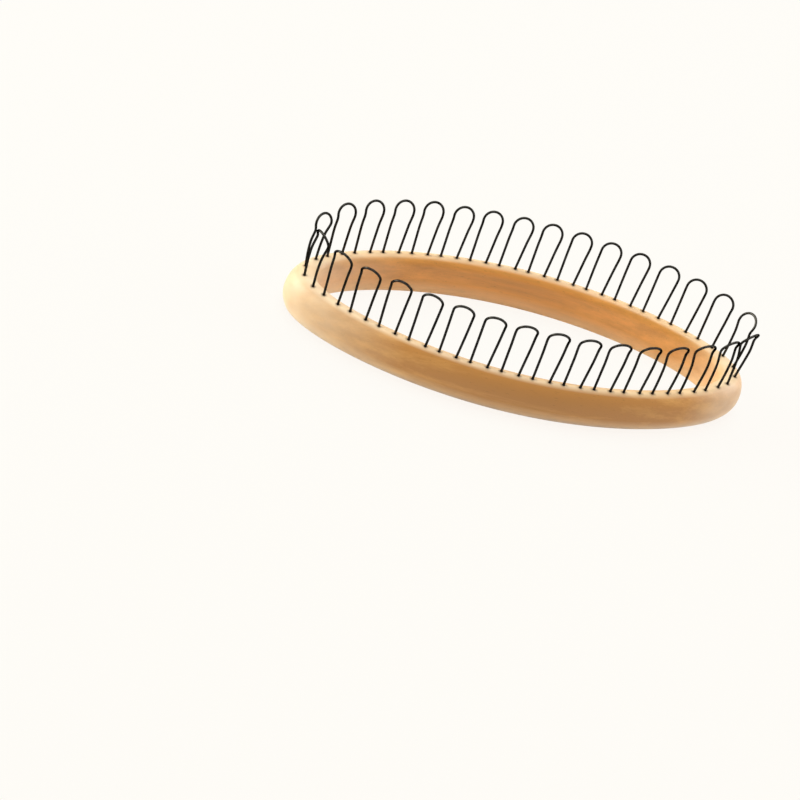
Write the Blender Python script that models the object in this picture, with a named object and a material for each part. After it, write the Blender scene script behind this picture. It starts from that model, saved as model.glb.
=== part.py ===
"""Oval hand knitting loom: a wooden hoop that carries a ring of bent steel wire pegs.

Metres, +Z up. The origin is the middle of the oval on the flat base, and +X runs along the oval.
"""

import math

import bmesh
import bpy
import numpy as np
from mathutils import Vector

MM = 0.001

# The oval line that the pegs stand on
PEG_LINE_HALF_LENGTH = 80.0 * MM
PEG_LINE_HALF_WIDTH = 30.1 * MM
PINCH_SHARE = 0.17  # how far the oval narrows towards its ends, next to an ellipse
PEG_COUNT = 32

# Hoop
HOOP_HEIGHT = 15.4 * MM
SIDE_INSET = 3.3 * MM  # from the peg line in to the opening, along the oval's sides
END_INSET = 5.2 * MM  # the same at the oval's two ends
SIDE_REACH = 4.6 * MM  # from the peg line out to the widest part, along the sides
END_REACH = 5.5 * MM  # the same at the two ends
SIDE_BASE_REACH = 2.4 * MM  # from the peg line out to the edge of the base, along the sides
END_BASE_REACH = 3.4 * MM  # the same at the two ends
CREST_RISE = 0.2 * MM  # of the peg line above the top of the rounded inner edge
INNER_EDGE_HEIGHT = 3.5 * MM  # of the round between the top and the upright inner face
INNER_EDGE_WIDTH = 2.6 * MM
OUTER_ROUND_HEIGHT = 9.2 * MM  # from the crest down to the widest part
BASE_EDGE = 0.5 * MM  # small chamfer between the inner face and the base

# Wire pegs
WIRE_DIAMETER = 0.9 * MM
LEG_SPACING = 6.14 * MM  # between the centres of the two legs where they enter the wood
HEAD_WIDTH = 7.26 * MM  # between the centres of the wire at the shoulders
NECK_START = 12.6 * MM  # height above the wood where the legs turn inwards
SHOULDER_HEIGHT = 17.85 * MM  # height above the wood where the head is bent outwards
NECK_INSET = 0.6 * MM  # how far the shoulders lie inside the peg line
HEAD_RISE = 1.1 * MM  # straight wire between the shoulder and the round of the head
HEAD_LEAN = math.radians(22.0)  # the head's outward lean
SHOULDER_BEND = 5.0 * MM  # bend radius at the shoulder
LEG_IN_WOOD = 8.5 * MM

# Holes for the legs
HOLE_CLEARANCE = 0.3 * MM  # round the wire, and under its end
CUTTER_OVERRUN = 2.0 * MM

# Counts of facets
SAMPLES_PER_PEG = 200  # for measuring the length of the peg line
OVAL_STEPS = 80
ROUND_STEPS = 5
SIDE_STEPS = 4
HEAD_STEPS = 8
SHOULDER_STEPS = 2
WIRE_ROUNDNESS = 2  # bevel resolution, which gives a wire of eight sides
HOLE_SIDES = 8
SHARP_EDGE = math.radians(40.0)  # turns sharper than this show as edges


def clear_scene():
    for obj in list(bpy.data.objects):
        bpy.data.objects.remove(obj, do_unlink=True)


def new_collection(name):
    collection = bpy.data.collections.new(name)
    bpy.context.scene.collection.children.link(collection)
    return collection


def new_material(name, color, roughness, metallic):
    material = bpy.data.materials.new(name)
    material.use_nodes = True
    shader = material.node_tree.nodes["Principled BSDF"]
    shader.inputs["Base Color"].default_value = (*color, 1.0)
    shader.inputs["Roughness"].default_value = roughness
    shader.inputs["Metallic"].default_value = metallic
    material.diffuse_color = (*color, 1.0)
    return material


def oval_point(turn, end_inset=0.0, side_inset=0.0):
    """A point of the peg line, a pinched ellipse, or of the smaller oval that the insets give.

    The turn runs from 0 at +X anticlockwise.
    """
    half_length = PEG_LINE_HALF_LENGTH - end_inset
    half_width = PEG_LINE_HALF_WIDTH - side_inset
    pinch = 1.0 - PINCH_SHARE * math.cos(turn) ** 2
    return Vector((half_length * math.cos(turn), half_width * math.sin(turn) * pinch, 0.0))


def oval_outward(turn):
    """The unit normal of the peg line, pointing away from its middle."""
    cosine, sine = math.cos(turn), math.sin(turn)
    along_x = -PEG_LINE_HALF_LENGTH * sine
    along_y = PEG_LINE_HALF_WIDTH * cosine * (1.0 - PINCH_SHARE * cosine**2 + 2.0 * PINCH_SHARE * sine**2)
    return Vector((along_y, -along_x, 0.0)).normalized()


def reach_towards(outward, at_sides, at_ends):
    """A reach that grows from the long sides of the oval to its two ends."""
    return at_sides + (at_ends - at_sides) * outward.x**2


def evenly_spaced_turns(count):
    """Turns that space points evenly along the peg line, half a pitch from the oval's tip."""
    turns = np.linspace(0.0, 2.0 * math.pi, SAMPLES_PER_PEG * count + 1)
    points = np.array([oval_point(turn) for turn in turns])
    lengths = np.linalg.norm(np.diff(points, axis=0), axis=1)
    travelled = np.concatenate([[0.0], np.cumsum(lengths)])
    wanted = (np.arange(count) + 0.5) / count * travelled[-1]
    return np.interp(wanted, travelled, turns)


def hoop_section(turn):
    """The hoop's closed section at one place of the oval, up the inner face and down the outer side."""
    peg_line = oval_point(turn)
    outward = oval_outward(turn)
    inner = oval_point(turn, END_INSET, SIDE_INSET)
    crest = peg_line + Vector((0.0, 0.0, HOOP_HEIGHT))
    up = Vector((0.0, 0.0, 1.0))
    widest_reach = reach_towards(outward, SIDE_REACH, END_REACH)
    base_reach = reach_towards(outward, SIDE_BASE_REACH, END_BASE_REACH)

    across = (peg_line - inner).normalized()
    section = [inner + across * BASE_EDGE, inner + up * BASE_EDGE]
    edge = inner + up * (HOOP_HEIGHT - CREST_RISE - INNER_EDGE_HEIGHT)
    for step in range(ROUND_STEPS + 1):
        angle = 0.5 * math.pi * step / ROUND_STEPS
        inset = INNER_EDGE_WIDTH * (1.0 - math.cos(angle))
        section.append(edge + across * inset + up * (INNER_EDGE_HEIGHT * math.sin(angle)))
    for step in range(ROUND_STEPS + 1):
        angle = 0.5 * math.pi * step / ROUND_STEPS
        drop = OUTER_ROUND_HEIGHT * (1.0 - math.cos(angle))
        section.append(crest + outward * (widest_reach * math.sin(angle)) - up * drop)
    widest_height = HOOP_HEIGHT - OUTER_ROUND_HEIGHT
    for step in range(1, SIDE_STEPS + 1):
        share = step / SIDE_STEPS
        reach = widest_reach + (base_reach - widest_reach) * share**2
        section.append(peg_line + outward * reach + up * (widest_height * (1.0 - share)))
    return section


def make_hoop_blank(name, material):
    """The hoop before drilling: a loft of its section round the oval."""
    shape = bmesh.new()
    turns = [2.0 * math.pi * step / OVAL_STEPS for step in range(OVAL_STEPS)]
    rings = [[shape.verts.new(point) for point in hoop_section(turn)] for turn in turns]
    for ring, following in zip(rings, rings[1:] + rings[:1]):
        for place in range(len(ring)):
            shape.faces.new((ring[place - 1], ring[place], following[place], following[place - 1]))
    bmesh.ops.recalc_face_normals(shape, faces=shape.faces)
    mesh = bpy.data.meshes.new(name)
    shape.to_mesh(mesh)
    shape.free()
    mesh.materials.append(material)
    mesh.shade_smooth()
    mesh.set_sharp_from_angle(angle=SHARP_EDGE)
    return bpy.data.objects.new(name, mesh)


def peg_centre_line():
    """The bent wire's centre line: X across the peg, Y outwards, Z up from the wood."""
    foot = Vector((LEG_SPACING / 2, 0.0, 0.0))
    shoulder = Vector((HEAD_WIDTH / 2, -NECK_INSET, SHOULDER_HEIGHT))
    neck = Vector((foot.x + (shoulder.x - foot.x) * NECK_START / SHOULDER_HEIGHT, 0.0, NECK_START))
    leaning = Vector((0.0, math.sin(HEAD_LEAN), math.cos(HEAD_LEAN)))

    into_bend = (neck - shoulder).normalized()
    turned = into_bend.angle(-leaning)
    cut_back = SHOULDER_BEND * math.tan(turned / 2)
    before, after = shoulder + into_bend * cut_back, shoulder + leaning * cut_back
    leg = [foot - Vector((0.0, 0.0, LEG_IN_WOOD)), neck]
    for step in range(SHOULDER_STEPS + 1):
        share = step / SHOULDER_STEPS
        leg.append(before.lerp(shoulder, share).lerp(shoulder.lerp(after, share), share))

    head = []
    middle = Vector((0.0, shoulder.y, shoulder.z)) + leaning * HEAD_RISE
    for step in range(HEAD_STEPS + 1):
        angle = math.pi * step / HEAD_STEPS
        across = Vector((HEAD_WIDTH / 2 * math.cos(angle), 0.0, 0.0))
        head.append(middle + across + leaning * (HEAD_WIDTH / 2 * math.sin(angle)))
    other_leg = [Vector((-point.x, point.y, point.z)) for point in reversed(leg)]
    return leg + head + other_leg


def make_peg_wire(material):
    """The curve that every peg shares."""
    wire = bpy.data.curves.new("peg_wire", "CURVE")
    wire.dimensions = "3D"
    wire.bevel_depth = WIRE_DIAMETER / 2
    wire.bevel_resolution = WIRE_ROUNDNESS
    wire.use_fill_caps = True
    points = peg_centre_line()
    spline = wire.splines.new("POLY")
    spline.points.add(len(points) - 1)
    for control, point in zip(spline.points, points):
        control.co = (*point, 1.0)
    spline.use_smooth = True
    wire.materials.append(material)
    return wire


def peg_places():
    """Where each peg stands on the crest, and the direction in which it faces outwards."""
    crest = Vector((0.0, 0.0, HOOP_HEIGHT))
    return [(oval_point(turn) + crest, oval_outward(turn)) for turn in evenly_spaced_turns(PEG_COUNT)]


def make_hole_cutters(name):
    """One cutter with a drill for each leg of each peg."""
    shape = bmesh.new()
    radius = WIRE_DIAMETER / 2 + HOLE_CLEARANCE
    depth = LEG_IN_WOOD + HOLE_CLEARANCE + CUTTER_OVERRUN
    for place, outward in peg_places():
        across = Vector((outward.y, -outward.x, 0.0))
        for side in (-1.0, 1.0):
            drill = bmesh.ops.create_cone(
                shape, cap_ends=True, segments=HOLE_SIDES, radius1=radius, radius2=radius, depth=depth
            )
            middle = place + across * (side * LEG_SPACING / 2)
            middle.z += CUTTER_OVERRUN - depth / 2
            bmesh.ops.translate(shape, verts=drill["verts"], vec=middle)
    mesh = bpy.data.meshes.new(name)
    shape.to_mesh(mesh)
    shape.free()
    cutters = bpy.data.objects.new(name, mesh)
    cutters.hide_render = True
    cutters.display_type = "WIRE"
    return cutters


def make_hoop(parts, helpers, material):
    hoop = make_hoop_blank("hoop", material)
    parts.objects.link(hoop)
    cutters = make_hole_cutters("leg_hole_cutters")
    helpers.objects.link(cutters)
    drilling = hoop.modifiers.new("leg holes", "BOOLEAN")
    drilling.operation = "DIFFERENCE"
    drilling.solver = "EXACT"
    drilling.object = cutters


def make_pegs(parts, material):
    wire = make_peg_wire(material)
    for number, (place, outward) in enumerate(peg_places(), start=1):
        peg = bpy.data.objects.new(f"wire_peg_{number:02d}", wire)
        peg.location = place
        peg.rotation_euler.z = math.atan2(outward.y, outward.x) - math.pi / 2
        parts.objects.link(peg)


def main():
    clear_scene()
    parts = new_collection("Oval knitting loom")
    helpers = new_collection("Cutters")
    wood = new_material("lacquered wood", (0.62, 0.35, 0.15), 0.38, 0.0)
    steel = new_material("bright steel wire", (0.30, 0.29, 0.28), 0.25, 1.0)
    make_hoop(parts, helpers, wood)
    make_pegs(parts, steel)


main()
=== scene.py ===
import math
import random

import bmesh
import bpy
from mathutils import Matrix, Vector, kdtree


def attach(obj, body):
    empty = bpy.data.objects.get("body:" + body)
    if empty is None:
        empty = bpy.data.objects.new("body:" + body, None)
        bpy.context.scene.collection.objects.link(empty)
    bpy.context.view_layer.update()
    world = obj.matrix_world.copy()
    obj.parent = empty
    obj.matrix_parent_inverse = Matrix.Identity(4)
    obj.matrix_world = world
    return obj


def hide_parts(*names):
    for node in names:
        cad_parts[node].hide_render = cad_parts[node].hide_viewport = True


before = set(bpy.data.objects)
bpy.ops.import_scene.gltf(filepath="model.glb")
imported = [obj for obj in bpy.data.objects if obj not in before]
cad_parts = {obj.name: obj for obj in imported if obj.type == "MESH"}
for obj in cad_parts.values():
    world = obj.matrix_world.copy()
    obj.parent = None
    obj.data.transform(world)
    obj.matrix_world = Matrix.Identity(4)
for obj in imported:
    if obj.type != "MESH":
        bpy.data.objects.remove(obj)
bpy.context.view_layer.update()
print("the packed loom is in, with", len(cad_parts), "nodes")

mm = 0.001
scene = bpy.context.scene
scene.view_settings.view_transform = "Standard"

# the oval that the pegs stand on; the origin is its middle, on the flat base
oval = {
    "halfLength": 80.0 * mm,
    "halfWidth": 30.1 * mm,
    "pinchShare": 0.17,  # how far it narrows towards its ends, next to an ellipse
    "hoopHeight": 15.4 * mm,
    "pegs": 32,
}


def ovalPoint(halfLength, halfWidth, turn):
    pinch = 1.0 - oval["pinchShare"] * math.cos(turn) ** 2
    return Vector((halfLength * math.cos(turn), halfWidth * math.sin(turn) * pinch, 0.0))


def ovalOutward(turn):
    cosine, sine, share = math.cos(turn), math.sin(turn), oval["pinchShare"]
    alongX = -oval["halfLength"] * sine
    alongY = oval["halfWidth"] * cosine * (1.0 - share * cosine**2 + 2.0 * share * sine**2)
    return Vector((alongY, -alongX, 0.0)).normalized()


def pegTurns():
    # walk round the line in small steps and note the turn at every half pitch
    steps = 6400
    turns = [2.0 * math.pi * step / steps for step in range(steps + 1)]
    points = [ovalPoint(oval["halfLength"], oval["halfWidth"], turn) for turn in turns]
    travelled = [0.0]
    for one, other in zip(points, points[1:]):
        travelled.append(travelled[-1] + (other - one).length)
    wanted = [(number + 0.5) / oval["pegs"] * travelled[-1] for number in range(oval["pegs"])]
    found, step = [], 0
    for length in wanted:
        while travelled[step + 1] < length:
            step += 1
        share = (length - travelled[step]) / (travelled[step + 1] - travelled[step])
        found.append(turns[step] + share * (turns[step + 1] - turns[step]))
    return found


def pegPlaces():
    # where each peg stands on the crest, and which way it faces
    crest = Vector((0.0, 0.0, oval["hoopHeight"]))
    line = (oval["halfLength"], oval["halfWidth"])
    return [(ovalPoint(*line, turn) + crest, ovalOutward(turn)) for turn in pegTurns()]


def finished(name, bm, materials, collection):
    mesh = bpy.data.meshes.new(name)
    bm.to_mesh(mesh)
    bm.free()
    for material in materials:
        mesh.materials.append(material)
    piece = bpy.data.objects.new(name, mesh)
    collection.objects.link(piece)
    return piece


def newCollection(name):
    collection = bpy.data.collections.new(name)
    scene.collection.children.link(collection)
    return collection


def full(value):
    # colours are written with three numbers, and their sockets want four
    return (*value, 1.0) if isinstance(value, tuple) else value


def setInputs(node, values):
    for name, value in values.items():
        node.inputs[name].default_value = full(value)


def meshValue(tree, name, output):
    # what the mesh keeps at each vertex under this name
    node = tree.nodes.new("ShaderNodeAttribute")
    node.attribute_name = name
    return node.outputs[output]


def separated(tree, vector):
    node = tree.nodes.new("ShaderNodeSeparateXYZ")
    tree.links.new(vector, node.inputs[0])
    return node.outputs


def maths(tree, operation, first, second=None, clamp=False):
    node = tree.nodes.new("ShaderNodeMath")
    node.operation = operation
    node.use_clamp = clamp
    for place, value in enumerate((first, second)):
        if value is None:
            continue
        if isinstance(value, (int, float)):
            node.inputs[place].default_value = value
        else:
            tree.links.new(value, node.inputs[place])
    return node.outputs[0]


def remap(tree, value, low, high, toLow=0.0, toHigh=1.0):
    node = tree.nodes.new("ShaderNodeMapRange")
    setInputs(node, {"From Min": low, "From Max": high, "To Min": toLow, "To Max": toHigh})
    tree.links.new(value, node.inputs["Value"])
    return node.outputs["Result"]


def blendColour(tree, amount, first, second):
    node = tree.nodes.new("ShaderNodeMix")
    node.data_type = "RGBA"
    for socket, value in ((node.inputs[0], amount), (node.inputs[6], first), (node.inputs[7], second)):
        if isinstance(value, (int, float, tuple)):
            socket.default_value = full(value)
        else:
            tree.links.new(value, socket)
    return node.outputs[2]


def stretched(tree, vector, scale, shift=(0.0, 0.0, 0.0)):
    node = tree.nodes.new("ShaderNodeMapping")
    node.inputs["Scale"].default_value = scale
    node.inputs["Location"].default_value = shift
    tree.links.new(vector, node.inputs["Vector"])
    return node.outputs["Vector"]


def noise(tree, vector, perMetre, detail, roughness, shift=(0.0, 0.0, 0.0)):
    # perMetre is how many spots fit in a metre along each axis
    node = tree.nodes.new("ShaderNodeTexNoise")
    setInputs(node, {"Scale": 1.0, "Detail": detail, "Roughness": roughness})
    tree.links.new(stretched(tree, vector, perMetre, shift), node.inputs["Vector"])
    return node.outputs["Fac"]


def newGroup(name, inputs, outputs):
    group = bpy.data.node_groups.new(name, "ShaderNodeTree")
    for label, kind, value in inputs:
        socket = group.interface.new_socket(name=label, in_out="INPUT", socket_type=kind)
        if value is not None:
            socket.default_value = full(value)
    for label, kind in outputs:
        group.interface.new_socket(name=label, in_out="OUTPUT", socket_type=kind)
    return group, group.nodes.new("NodeGroupInput"), group.nodes.new("NodeGroupOutput")


def newMaterial(name):
    material = bpy.data.materials.new(name)
    material.use_nodes = True
    return material, material.node_tree, material.node_tree.nodes["Principled BSDF"]


def addBump(tree, shader, height, strength, distance):
    bump = tree.nodes.new("ShaderNodeBump")
    setInputs(bump, {"Strength": strength, "Distance": distance})
    tree.links.new(height, bump.inputs["Height"])
    tree.links.new(bump.outputs["Normal"], shader.inputs["Normal"])


plank = {
    "ringScale": 52.0,
    "streaks": 0.22,  # how much the long streaks lighten or darken it
    "fibres": 0.10,
    "patches": 0.18,
    "edges": (-34.0 * mm, 28.0 * mm),  # of the plank, front and back; the painted side shade runs between them
    # painted shade in front and painted light behind, as changes of tone
    "sideShadeTones": (-0.48, 0.22),
    "paintedWarmth": (0.0 * mm, 26.0 * mm),  # where the painted warm bounce light at the back starts, and where it is full
    "poreColour": (0.22, 0.095, 0.03),
}


def woodGrainGroup():
    # broad soft rings across the plank, fine streaks and a few pores along it; X is the plank's length
    group, source, result = newGroup(
        "plank grain and painted side light",
        [
            ("Vector", "NodeSocketVector", None),
            ("Dark Colour", "NodeSocketColor", (0.4, 0.2, 0.1)),
            ("Light Colour", "NodeSocketColor", (0.8, 0.5, 0.3)),
            ("Painted Warm Colour", "NodeSocketColor", (0.8, 0.4, 0.2)),
            ("Ring Contrast", "NodeSocketFloat", 0.5),
            ("Pore Depth", "NodeSocketFloat", 0.5),
        ],
        [("Colour", "NodeSocketColor"), ("Fibre", "NodeSocketFloat"), ("Height", "NodeSocketFloat")],
    )
    given = source.outputs
    vector = given["Vector"]
    rings = group.nodes.new("ShaderNodeTexWave")
    rings.wave_type = "RINGS"
    rings.rings_direction = "X"
    rings.wave_profile = "SIN"
    setInputs(rings, {"Scale": plank["ringScale"], "Distortion": 3.0})
    setInputs(rings, {"Detail": 2.0, "Detail Scale": 0.7, "Detail Roughness": 0.6})
    ringPlace = stretched(group, vector, (0.12, 1.0, 1.0), (0.0, 0.071, 0.052))
    group.links.new(ringPlace, rings.inputs["Vector"])
    streaks = noise(group, vector, (17.0, 420.0, 420.0), 3.0, 0.6)
    fibre = noise(group, vector, (60.0, 2100.0, 2100.0), 3.0, 0.62)
    pores = noise(group, vector, (360.0, 3600.0, 3600.0), 1.0, 0.5, (0.3, 0.1, 0.2))
    patches = noise(group, vector, (9.0, 90.0, 90.0), 2.0, 0.5, (3.1, 0.4, 0.0))

    # 0 is the dark colour and 1 the light one
    tone = maths(group, "SUBTRACT", rings.outputs["Fac"], 0.5)
    tone = maths(group, "MULTIPLY", tone, given["Ring Contrast"])
    for pattern, low, high, middle, reach in (
        (streaks, 0.3, 0.7, 0.0, plank["streaks"]),
        (fibre, 0.25, 0.75, 0.0, plank["fibres"]),
        (patches, 0.3, 0.7, 0.5, plank["patches"]),
    ):
        tone = maths(group, "ADD", tone, remap(group, pattern, low, high, middle - reach, middle + reach))
    # painted shade darkens the front of the oval and painted light lightens the back; the back is also
    # painted more orange, for light bouncing inside the oval
    across = separated(group, vector)["Y"]
    sideShade = remap(group, across, *plank["edges"], *plank["sideShadeTones"])
    tone = maths(group, "ADD", tone, sideShade, clamp=True)
    paintedWarmth = remap(group, across, *plank["paintedWarmth"])
    light = blendColour(group, paintedWarmth, given["Light Colour"], given["Painted Warm Colour"])
    colour = blendColour(group, tone, given["Dark Colour"], light)
    poreShade = maths(group, "MULTIPLY", remap(group, pores, 0.68, 0.76), given["Pore Depth"])
    colour = blendColour(group, poreShade, colour, plank["poreColour"])
    group.links.new(colour, result.inputs["Colour"])
    group.links.new(fibre, result.inputs["Fibre"])
    height = maths(group, "SUBTRACT", maths(group, "MULTIPLY", fibre, 0.35), poreShade)
    group.links.new(height, result.inputs["Height"])
    return group


def plankGrain(tree, grain, finish):
    # the grain in this finish's colours, and the place that it is read at
    place = tree.nodes.new("ShaderNodeTexCoord").outputs["Object"]
    node = tree.nodes.new("ShaderNodeGroup")
    node.node_tree = grain
    tree.links.new(place, node.inputs["Vector"])
    setInputs(
        node,
        {
            "Dark Colour": finish["dark"],
            "Light Colour": finish["light"],
            "Painted Warm Colour": finish["paintedWarm"],
            "Ring Contrast": finish["ringContrast"],
            "Pore Depth": finish["poreDepth"],
        },
    )
    return place, node.outputs


woodFinish = {
    "dark": (0.55, 0.250, 0.063),
    "light": (0.86, 0.475, 0.145),
    # painted warm bounce light for the back of the oval
    "paintedWarm": (0.94, 0.43, 0.10),
    "paintedLight": (0.94, 0.79, 0.52),  # painted highlight on the crest and painted bounce light from the floor on the lower edge
    "paleEnds": (0.80, 0.65, 0.47),  # painted light on the left end, where the window lamp falls; the right end is painted paler too
    # painted shade round the legs' holes
    "boreShadeColour": (0.10, 0.045, 0.016),
    # each place as (where it starts, where it is full, how much)
    "crest": (14.5 * mm, 15.4 * mm, 0.58),
    "lowerEdge": (6.0 * mm, 0.3 * mm, 0.50),
    "leftEnd": (-42.0 * mm, -82.0 * mm, 0.64),
    "rightEnd": (61.0 * mm, 77.0 * mm, 0.48),
    "boreShade": 0.75,
    "ringContrast": 0.22,
    "poreDepth": 0.35,
    "roughness": (0.38, 0.54),
    "specular": 0.12,
    "coat": 0.70,
    "coatRoughness": 0.40,
    "grainHeight": 0.03 * mm,
}


def paleZone(tree, value, name):
    # how far into one of the places that the finish paints paler this is
    start, whole, amount = woodFinish[name]
    return remap(tree, value, start, whole, 0.0, amount)


def lacqueredWood(grain):
    material, tree, shader = newMaterial("lacquered wood")
    place, planks = plankGrain(tree, grain, woodFinish)
    parts = separated(tree, place)
    # painted light: a painted highlight along the crest, painted floor bounce on the lower edge and painted
    # window light on the left end; the right end is painted paler too, more in some streaks than in others
    paintedLightZones = maths(tree, "ADD", paleZone(tree, parts["Z"], "crest"), paleZone(tree, parts["Z"], "lowerEdge"))
    # painted window light on the left end, and a paler right end
    paleEnds = maths(tree, "ADD", paleZone(tree, parts["X"], "leftEnd"), paleZone(tree, parts["X"], "rightEnd"))
    streaks = noise(tree, place, (30.0, 160.0, 160.0), 2.0, 0.55, (0.7, 0.2, 0.9))
    uneven = remap(tree, streaks, 0.3, 0.7, 0.8, 1.15)
    colour = planks["Colour"]
    for amount, paler in ((paintedLightZones, "paintedLight"), (paleEnds, "paleEnds")):
        amount = maths(tree, "MULTIPLY", amount, uneven, clamp=True)
        colour = blendColour(tree, amount, colour, woodFinish[paler])
    # painted shade: the top is darkened round each leg, where it goes into its hole
    bore = maths(tree, "MULTIPLY", meshValue(tree, "boreShade", "Fac"), woodFinish["boreShade"])
    colour = blendColour(tree, bore, colour, woodFinish["boreShadeColour"])
    tree.links.new(colour, shader.inputs["Base Color"])

    smears = noise(tree, place, (35.0, 90.0, 90.0), 3.0, 0.6)
    tree.links.new(remap(tree, smears, 0.3, 0.7, *woodFinish["roughness"]), shader.inputs["Roughness"])
    ripple = noise(tree, place, (70.0, 160.0, 160.0), 1.0, 0.5)
    height = maths(tree, "ADD", planks["Height"], maths(tree, "MULTIPLY", ripple, 1.2))
    addBump(tree, shader, height, 0.6, woodFinish["grainHeight"])
    setInputs(shader, {"Coat Weight": woodFinish["coat"], "Coat Roughness": woodFinish["coatRoughness"]})
    setInputs(shader, {"Specular IOR Level": woodFinish["specular"]})
    return material


# the raw wall of the drilled holes
boreFinish = {
    "dark": (0.10, 0.045, 0.02),
    "light": (0.20, 0.10, 0.045),
    "paintedWarm": (0.20, 0.09, 0.04),
    "ringContrast": 0.3,
    "poreDepth": 0.3,
    "roughness": (0.75, 0.95),
}


def boredWood(grain):
    material, tree, shader = newMaterial("bored wood")
    place, planks = plankGrain(tree, grain, boreFinish)
    tree.links.new(planks["Colour"], shader.inputs["Base Color"])
    rough = remap(tree, planks["Fibre"], 0.2, 0.8, *boreFinish["roughness"])
    tree.links.new(rough, shader.inputs["Roughness"])
    return material


wireFinish = {
    # painted dark reflection: both tints are near black, so the steel looks as if it mirrored a dark room,
    # while the backdrop it mirrors is pale
    "bright": (0.042, 0.040, 0.036),
    "dull": (0.010, 0.0095, 0.008),
    "roughness": (0.24, 0.32),
    "dullRoughness": (-0.05, 0.09),  # added in bright and in dull patches
    "edgeTint": (0.1, 0.1, 0.1),
    "drawLineHeight": 0.012 * mm,
}


def drawnSteel():
    # hard-drawn wire: fine lines along its length, and duller patches
    material, tree, shader = newMaterial("drawn steel wire")
    flow = meshValue(tree, "wireFlow", "Vector")
    lines = noise(tree, flow, (5200.0, 5200.0, 60.0), 2.0, 0.6)
    patches = noise(tree, flow, (500.0, 500.0, 210.0), 3.0, 0.55)
    tint = blendColour(tree, remap(tree, patches, 0.35, 0.65), wireFinish["bright"], wireFinish["dull"])
    tint = blendColour(tree, remap(tree, lines, 0.35, 0.65, 0.0, 0.35), tint, wireFinish["dull"])
    tree.links.new(tint, shader.inputs["Base Color"])
    patchy = remap(tree, patches, 0.3, 0.7, *wireFinish["dullRoughness"])
    rough = maths(tree, "ADD", patchy, remap(tree, lines, 0.3, 0.7, *wireFinish["roughness"]))
    tree.links.new(rough, shader.inputs["Roughness"])
    addBump(tree, shader, lines, 0.5, wireFinish["drawLineHeight"])
    setInputs(shader, {"Metallic": 1.0, "Specular Tint": wireFinish["edgeTint"]})
    return material


hoop = {
    "openingHalfLength": 74.8 * mm,
    "openingHalfWidth": 26.8 * mm,
    "sideReach": 4.6 * mm,  # from the peg line out to the widest part
    "endReach": 5.5 * mm,
    "sideBaseReach": 2.4 * mm,  # from the peg line out to the edge of the base
    "endBaseReach": 3.4 * mm,
    "crestRise": 0.2 * mm,  # of the peg line above the top of the rounded inner edge
    "innerEdgeHeight": 3.5 * mm,
    "innerEdgeWidth": 2.6 * mm,
    "outerRoundHeight": 9.2 * mm,
    "baseRound": 0.6 * mm,
    "stepsRound": 448,
    "holeRadius": 0.56 * mm,
    "holeDepth": 8.8 * mm,
    "holeSides": 20,
    "drillOverrun": 3.0 * mm,  # how far the cutters stand out of the wood
    "boreShadeWidth": 0.36 * mm,
    "boreShadeDepth": 3.0 * mm,  # how far down from the top it may reach
    "sharpFrom": 50.0,  # degrees between two faces
}


def quarterTurn(steps, first=1):
    return [0.5 * math.pi * step / steps for step in range(first, steps + 1)]


def hoopSection():
    # the section up the inner face and down the outer side, as (zone, reach in that zone, height)
    height = oval["hoopHeight"]
    small = hoop["baseRound"]
    edgeTop = height - hoop["crestRise"]
    innerShoulder = edgeTop - hoop["innerEdgeHeight"]
    widest = height - hoop["outerRoundHeight"]
    section = []
    for angle in quarterTurn(4, first=0):
        section.append(("inner", small * (1.0 - math.sin(angle)), small * (1.0 - math.cos(angle))))
    for step in range(1, 7):
        section.append(("inner", 0.0, small + (innerShoulder - small) * step / 6))
    for angle in quarterTurn(10):
        rise = hoop["innerEdgeHeight"] * math.sin(angle)
        section.append(("inner", hoop["innerEdgeWidth"] * (1.0 - math.cos(angle)), innerShoulder + rise))
    for step in range(1, 4):
        section.append(("top", step / 4, edgeTop + hoop["crestRise"] * math.sin(0.5 * math.pi * step / 4)))
    for angle in quarterTurn(16, first=0):
        fall = hoop["outerRoundHeight"] * (1.0 - math.cos(angle))
        section.append(("outer", math.sin(angle), height - fall))
    for step in range(1, 9):
        section.append(("outer", 1.0, widest + (small - widest) * step / 8))
    for angle in quarterTurn(4):
        section.append(("base", small * (1.0 - math.cos(angle)), small * (1.0 - math.sin(angle))))
    for step in range(1, 5):
        section.append(("under", step / 5, 0.0))
    return section


def hoopSpot(turn, zone, reach, height):
    # where a spot of the section lies at one turn of the oval
    outward = ovalOutward(turn)
    onPegLine = ovalPoint(oval["halfLength"], oval["halfWidth"], turn)
    inner = ovalPoint(hoop["openingHalfLength"], hoop["openingHalfWidth"], turn)
    across = (onPegLine - inner).normalized()
    up = Vector((0.0, 0.0, height))
    if zone == "inner":
        return inner + across * reach + up
    if zone == "top":
        return (inner + across * hoop["innerEdgeWidth"]).lerp(onPegLine, reach) + up
    atEnd = outward.x**2
    widestReach = hoop["sideReach"] + (hoop["endReach"] - hoop["sideReach"]) * atEnd
    baseReach = hoop["sideBaseReach"] + (hoop["endBaseReach"] - hoop["sideBaseReach"]) * atEnd
    if zone == "under":
        baseEdge = onPegLine + outward * (baseReach - hoop["baseRound"])
        return baseEdge.lerp(inner + across * hoop["baseRound"], reach) + up
    # below its widest part the side curves in towards the base
    widest = oval["hoopHeight"] - hoop["outerRoundHeight"]
    sideReach = widestReach + (baseReach - widestReach) * max(1.0 - height / widest, 0.0) ** 2
    return onPegLine + outward * (sideReach * reach if zone == "outer" else sideReach - reach) + up


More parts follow.
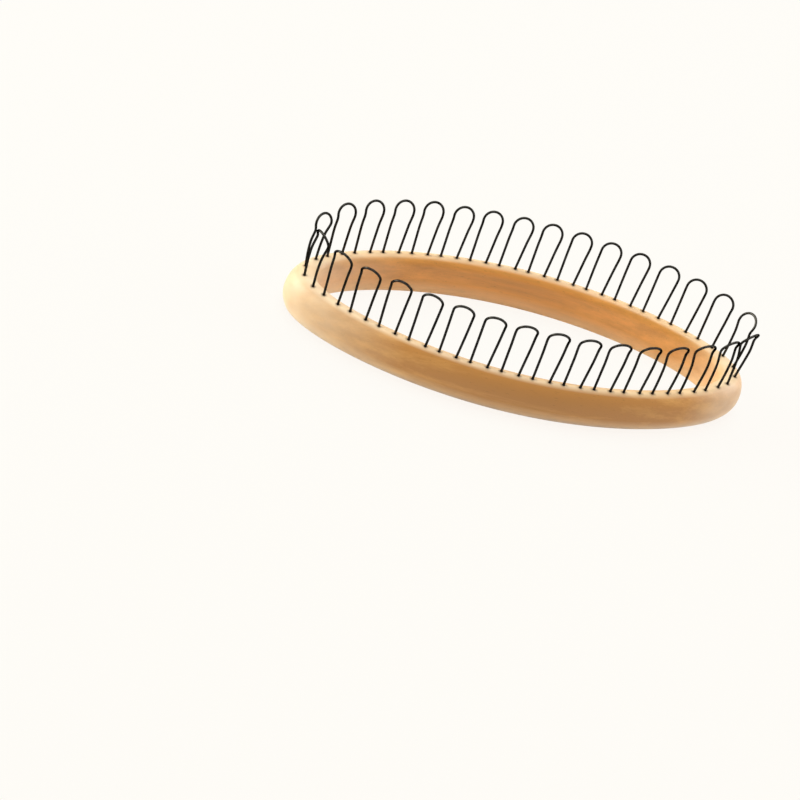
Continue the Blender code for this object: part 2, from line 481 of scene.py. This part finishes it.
def makeHoop(places, materials, collection):
    bm = bmesh.new()
    spots = hoopSection()
    # a plain ring first, with each spot of the section on a radius of its own
    plain = 2.0
    section = [bm.verts.new((plain + number / len(spots), 0.0, spot[2])) for number, spot in enumerate(spots)]
    loop = [bm.edges.new((one, other)) for one, other in zip(section, section[1:] + section[:1])]
    bmesh.ops.spin(
        bm,
        geom=section + loop,
        cent=(0.0, 0.0, 0.0),
        axis=(0.0, 0.0, 1.0),
        angle=2.0 * math.pi,
        steps=hoop["stepsRound"],
        use_merge=True,
    )
    # then each spot moves to its place on the oval
    for vert in bm.verts:
        turn = math.atan2(vert.co.y, vert.co.x)
        zone, reach, height = spots[round((math.hypot(vert.co.x, vert.co.y) - plain) * len(spots))]
        vert.co = hoopSpot(turn, zone, reach, height)
    bmesh.ops.remove_doubles(bm, verts=bm.verts, dist=1e-6)
    bmesh.ops.recalc_face_normals(bm, faces=bm.faces)
    for face in bm.faces:
        face.smooth = True
    blank = finished("hoop_blank", bm, materials, collection)

    feet = [foot for place, outward, legs in places for foot in legs]
    drills = bmesh.new()
    length = hoop["holeDepth"] + hoop["drillOverrun"]
    for foot in feet:
        drill = bmesh.ops.create_cone(
            drills,
            cap_ends=True,
            segments=hoop["holeSides"],
            radius1=hoop["holeRadius"],
            radius2=hoop["holeRadius"],
            depth=length,
        )
        middle = Vector((foot.x, foot.y, foot.z + hoop["drillOverrun"] - length / 2))
        bmesh.ops.translate(drills, verts=drill["verts"], vec=middle)
    for face in drills.faces:
        face.smooth = True
        face.material_index = 1
    cutter = finished("leg_drills", drills, materials, collection)

    cut = blank.modifiers.new("leg holes", "BOOLEAN")
    cut.operation = "DIFFERENCE"
    cut.solver = "EXACT"
    cut.object = cutter
    graph = bpy.context.evaluated_depsgraph_get()
    mesh = bpy.data.meshes.new_from_object(blank.evaluated_get(graph))
    mesh.name = "hoop_body"
    bpy.data.objects.remove(blank)
    bpy.data.objects.remove(cutter)
    mesh.set_sharp_from_angle(angle=math.radians(hoop["sharpFrom"]))

    # the wood's shader paints shade on the top by how near the next hole is
    tree = kdtree.KDTree(len(feet))
    for number, foot in enumerate(feet):
        tree.insert((foot.x, foot.y, 0.0), number)
    tree.balance()
    shade = mesh.attributes.new("boreShade", "FLOAT", "POINT")
    for number, vert in enumerate(mesh.vertices):
        away = tree.find((vert.co.x, vert.co.y, 0.0))[2] - hoop["holeRadius"]
        near = math.exp(-((max(away, 0.0) / hoop["boreShadeWidth"]) ** 2))
        shade.data[number].value = near if vert.co.z > oval["hoopHeight"] - hoop["boreShadeDepth"] else 0.0
    piece = bpy.data.objects.new("hoop_body", mesh)
    collection.objects.link(piece)
    return piece


peg = {
    "wireRadius": 0.45 * mm,
    "sides": 14,
    "legSpacing": 6.14 * mm,
    "headWidth": 7.26 * mm,
    "neckStart": 12.6 * mm,
    "shoulderHeight": 17.85 * mm,
    "neckInset": 0.6 * mm,
    "headRise": 0.97 * mm,
    "headLean": 22.0,  # degrees outwards
    "neckBend": 1.4 * mm,
    "shoulderBend": 5.0 * mm,
    "legInWood": 8.5 * mm,
    # how far each bent wire differs from the next; tilt and lean are slopes, headLean and twist are degrees
    "wander": {
        "spread": 0.05 * mm,
        "headLean": 1.5,
        "tilt": 0.008,
        "lean": 0.006,
        "bow": 0.05 * mm,
        "twist": 2.0,
    },
    "seed": 7,
    # pegs that stand out of line in the photograph, by number
    "outOfLine": {
        1: {
            "spread": 0.3 * mm,
            "headLean": 6.0,
            "lean": -0.02,
            "bow": 0.3 * mm,
            "twist": -10.0,
            "height": 0.99,
        },
        12: {"lean": 0.04},
        13: {"lean": 0.03},
        14: {"lean": 0.03, "tilt": -0.01},
        15: {"lean": 0.01, "tilt": -0.02},
        16: {
            "spread": 0.3 * mm,
            "tilt": -0.01,
            "lean": -0.02,
            "bow": -0.8 * mm,
            "twist": -8.0,
            "height": 0.95,
        },
        17: {"tilt": -0.02, "bow": 0.7 * mm, "spread": -0.2 * mm, "headLean": 2.0, "twist": 2.0},
        18: {"lean": 0.03, "height": 0.97},
        19: {"lean": 0.02, "height": 0.97},
        29: {"lean": -0.02, "bow": -0.3 * mm},
        30: {"lean": -0.05, "bow": -0.5 * mm},
        31: {"lean": -0.05, "bow": -0.5 * mm},
        32: {"lean": -0.04, "tilt": 0.01, "bow": -0.7 * mm, "headLean": 3.0, "twist": -18.0},
    },
}


def softened(before, corner, after, cut, steps):
    # a corner of the centre line rounded off, from cut before it to cut after it
    start = corner + (before - corner).normalized() * cut
    end = corner + (after - corner).normalized() * cut
    shares = [step / steps for step in range(steps + 1)]
    return [start.lerp(corner, share).lerp(corner.lerp(end, share), share) for share in shares]


def pegLine(change):
    # the centre line in the peg's own frame: X across it, Y outwards, Z up from the wood
    half = peg["headWidth"] / 2 + change["spread"]
    foot = Vector((peg["legSpacing"] / 2, 0.0, 0.0))
    shoulder = Vector((half, -peg["neckInset"], peg["shoulderHeight"]))
    splay = (shoulder.x - foot.x) * peg["neckStart"] / peg["shoulderHeight"]
    neck = Vector((foot.x + splay, 0.0, peg["neckStart"]))
    lean = math.radians(peg["headLean"] + change["headLean"])
    leaning = Vector((0.0, math.sin(lean), math.cos(lean)))
    under = foot - Vector((0.0, 0.0, peg["legInWood"]))
    turned = (neck - shoulder).angle(-leaning)
    cut = peg["shoulderBend"] * math.tan(turned / 2)

    leg = [under, under.lerp(foot, 0.5)]
    leg += [foot.lerp(neck, share / 6) for share in range(6)]
    leg += softened(foot, neck, shoulder, peg["neckBend"], 4)
    leg += softened(neck, shoulder, shoulder + leaning * (2.0 * mm), cut, 6)
    middle = Vector((0.0, shoulder.y, shoulder.z)) + leaning * peg["headRise"]
    head = []
    for step in range(21):
        angle = math.pi * step / 20
        head.append(middle + Vector((half * math.cos(angle), 0.0, 0.0)) + leaning * (half * math.sin(angle)))
    otherLeg = [Vector((-spot.x, spot.y, spot.z)) for spot in reversed(leg)]
    line = leg + head + otherLeg
    for spot in line:
        high = max(spot.z, 0.0)
        share = min(high / peg["shoulderHeight"], 1.0)
        spot.x += change["tilt"] * high + change["bow"] * math.sin(math.pi * share)
        spot.y += change["lean"] * high
        spot.z = min(spot.z, spot.z * change["height"])  # what is in the wood stays as it is
        spot.rotate(Matrix.Rotation(math.radians(change["twist"]) * share, 3, "Z"))
    return line


def sweepWire(line, radius, sides):
    # a ring carried along the centre line, turning with it
    bm = bmesh.new()
    flow = bm.verts.layers.float_vector.new("wireFlow")
    directions = []
    for number in range(len(line)):
        before = line[max(number - 1, 0)]
        after = line[min(number + 1, len(line) - 1)]
        directions.append((after - before).normalized())
    facing = Vector((0.0, 0.0, 1.0)).rotation_difference(directions[0]).to_matrix().to_4x4()
    made = bmesh.ops.create_circle(
        bm, cap_ends=True, segments=sides, radius=radius, matrix=Matrix.Translation(line[0]) @ facing
    )
    ring = list(made["verts"])
    for side, vert in enumerate(ring):
        angle = 2 * math.pi * side / sides
        vert[flow] = (math.cos(angle) * radius, math.sin(angle) * radius, 0.0)
    edges = [edge for edge in bm.edges if all(vert in ring for vert in edge.verts)]
    travelled = 0.0
    for number in range(1, len(line)):
        grown = bmesh.ops.extrude_edge_only(bm, edges=edges)["geom"]
        fresh = [item for item in grown if isinstance(item, bmesh.types.BMVert)]
        edges = [item for item in grown if isinstance(item, bmesh.types.BMEdge)]
        edges = [edge for edge in edges if all(vert in fresh for vert in edge.verts)]
        turn = directions[number - 1].rotation_difference(directions[number]).to_matrix().to_4x4()
        move = Matrix.Translation(line[number]) @ turn @ Matrix.Translation(-line[number - 1])
        bmesh.ops.transform(bm, matrix=move, verts=fresh)
        travelled += (line[number] - line[number - 1]).length
        for vert in fresh:
            vert[flow] = (vert[flow].x, vert[flow].y, travelled)
    bmesh.ops.edgeloop_fill(bm, edges=edges)
    bmesh.ops.recalc_face_normals(bm, faces=bm.faces)
    for face in bm.faces:
        face.smooth = len(face.verts) == 4
    return bm


def pegChanges():
    # small differences from one bent wire to the next, then the pegs that stand out of line
    chance = random.Random(peg["seed"])
    changes = []
    for number in range(1, oval["pegs"] + 1):
        change = {name: chance.uniform(-reach, reach) for name, reach in peg["wander"].items()}
        changes.append({**change, "height": 1.0, **peg["outOfLine"].get(number, {})})
    return changes


def makePegs(places, steel, collection):
    pieces = []
    for number, ((place, outward, legs), change) in enumerate(zip(places, pegChanges()), start=1):
        bm = sweepWire(pegLine(change), peg["wireRadius"], peg["sides"])
        facing = Matrix.Rotation(math.atan2(outward.y, outward.x) - math.pi / 2, 4, "Z")
        bmesh.ops.transform(bm, matrix=Matrix.Translation(place) @ facing, verts=bm.verts)
        piece = finished(f"bent_peg_{number:02d}", bm, [steel], collection)
        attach(piece, "root")
        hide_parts(f"wire_peg_{number:02d}")
        pieces.append(piece)
    return pieces


studio = {
    "floorSize": 6.0,
    "floorGlow": (0.948, 0.897, 0.850),  # the floor's own light to the camera, so that shadows stay faint
    "floorShaded": (0.035, 0.059, 0.064),  # what the lamps add to it; its blue makes the shadows warm
    "floorLit": (0.98, 0.96, 0.93),  # as it lights the loom
    "skyAround": (0.02, 0.02, 0.02),
    "skyOverhead": (0.05, 0.05, 0.05),
    "skyBright": (0.12, 0.12, 0.11),  # towards the window side
    "brightSide": (-0.62, 0.68, 0.40),
    "backdrop": (0.99, 0.982, 0.943),
    "lamps": {
        "window": {"place": (-1.45, 0.19, 0.46), "size": 0.9, "power": 24.0, "colour": (1.0, 0.97, 0.82)},
        "top": {"place": (0.0, 0.26, 1.60), "size": 1.2, "power": 26.0, "colour": (1.0, 0.98, 0.94)},
        "back": {"place": (0.15, 1.35, 0.85), "size": 1.2, "power": 0.6, "colour": (1.0, 0.98, 0.94)},
        "right": {"place": (1.40, 0.20, 0.62), "size": 0.9, "power": 13.0, "colour": (1.0, 0.96, 0.93)},
    },
}


def seenByEye(tree):
    # camera, glossy and transmission rays see the backdrop's own colour
    path = tree.nodes.new("ShaderNodeLightPath")
    seen = maths(tree, "ADD", path.outputs["Is Camera Ray"], path.outputs["Is Glossy Ray"], clamp=True)
    return maths(tree, "ADD", seen, path.outputs["Is Transmission Ray"], clamp=True)


def makeFloor(collection):
    bm = bmesh.new()
    bmesh.ops.create_grid(bm, x_segments=1, y_segments=1, size=studio["floorSize"] / 2)
    material, tree, shader = newMaterial("pale floor")
    seen = seenByEye(tree)
    colour = blendColour(tree, seen, studio["floorLit"], studio["floorShaded"])
    tree.links.new(colour, shader.inputs["Base Color"])
    tree.links.new(seen, shader.inputs["Emission Strength"])
    setInputs(shader, {"Emission Color": studio["floorGlow"], "Roughness": 0.9, "Specular IOR Level": 0.0})
    floor = finished("floor", bm, [material], collection)
    return floor


def makeSky():
    world = bpy.data.worlds.new("soft studio")
    scene.world = world
    world.use_nodes = True
    tree = world.node_tree
    background = tree.nodes["Background"]
    direction = tree.nodes.new("ShaderNodeTexCoord").outputs["Generated"]
    towards = tree.nodes.new("ShaderNodeVectorMath")
    towards.operation = "DOT_PRODUCT"
    towards.inputs[1].default_value = Vector(studio["brightSide"]).normalized()
    tree.links.new(direction, towards.inputs[0])
    overhead = remap(tree, separated(tree, direction)["Z"], 0.0, 0.9)
    sky = blendColour(tree, overhead, studio["skyAround"], studio["skyOverhead"])
    sky = blendColour(tree, remap(tree, towards.outputs["Value"], 0.1, 0.9), sky, studio["skyBright"])
    tree.links.new(blendColour(tree, seenByEye(tree), sky, studio["backdrop"]), background.inputs["Color"])


def makeLamps(collection):
    for name, values in studio["lamps"].items():
        lamp = bpy.data.lights.new(name, "AREA")
        lamp.energy = values["power"]
        lamp.size = values["size"]
        lamp.color = values["colour"]
        holder = bpy.data.objects.new(name, lamp)
        holder.location = values["place"]
        aim = Vector((0.0, 0.0, 0.01)) - holder.location
        holder.rotation_euler = aim.to_track_quat("-Z", "Y").to_euler()
        collection.objects.link(holder)


viewpoint = {
    "azimuth": -11.92,  # degrees; 0 looks along +Y
    "elevation": 39.98,
    "roll": 20.52,
    "distance": 661.34 * mm,
    "across": -43.9 * mm,
    "up": -27.75 * mm,
    "focal": 1861.97,  # pixels
    "frameWidth": 800.0,  # pixels
    "sensorWidth": 36.0,
}


def makeCamera():
    azimuth, elevation, roll = (math.radians(viewpoint[name]) for name in ("azimuth", "elevation", "roll"))
    flat = math.cos(elevation)
    back = Vector((math.sin(azimuth) * flat, -math.cos(azimuth) * flat, math.sin(elevation)))
    level = Vector((math.cos(azimuth), math.sin(azimuth), 0.0))
    upright = back.cross(level)
    right = math.cos(roll) * level + math.sin(roll) * upright
    above = math.cos(roll) * upright - math.sin(roll) * level
    lens = bpy.data.cameras.new("camera")
    lens.sensor_width = viewpoint["sensorWidth"]
    lens.lens = viewpoint["focal"] * viewpoint["sensorWidth"] / viewpoint["frameWidth"]
    camera = bpy.data.objects.new("camera", lens)
    target = Vector((0.0, 0.0, oval["hoopHeight"]))
    place = target + right * viewpoint["across"] + above * viewpoint["up"] + back * viewpoint["distance"]
    turned = Matrix((right, above, back)).transposed().to_4x4()
    camera.matrix_world = Matrix.Translation(place) @ turned
    scene.collection.objects.link(camera)
    scene.camera = camera


makeCamera()
print("the camera stands where the photograph was taken")
studioThings = newCollection("studio")
makeFloor(studioThings)
makeSky()
makeLamps(studioThings)
print("floor, sky and lamps are up")

loom = newCollection("oval knitting loom")
grain = woodGrainGroup()
standing = []
for place, outward in pegPlaces():
    across = Vector((outward.y, -outward.x, 0.0)) * (peg["legSpacing"] / 2)
    standing.append((place, outward, (place - across, place + across)))

hoopBody = makeHoop(standing, [lacqueredWood(grain), boredWood(grain)], loom)
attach(hoopBody, "root")
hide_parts("hoop")
print("the hoop is lofted and drilled:", len(hoopBody.data.polygons), "faces")

bentPegs = makePegs(standing, drawnSteel(), loom)
print("the wires are bent:", len(bentPegs), "pegs")
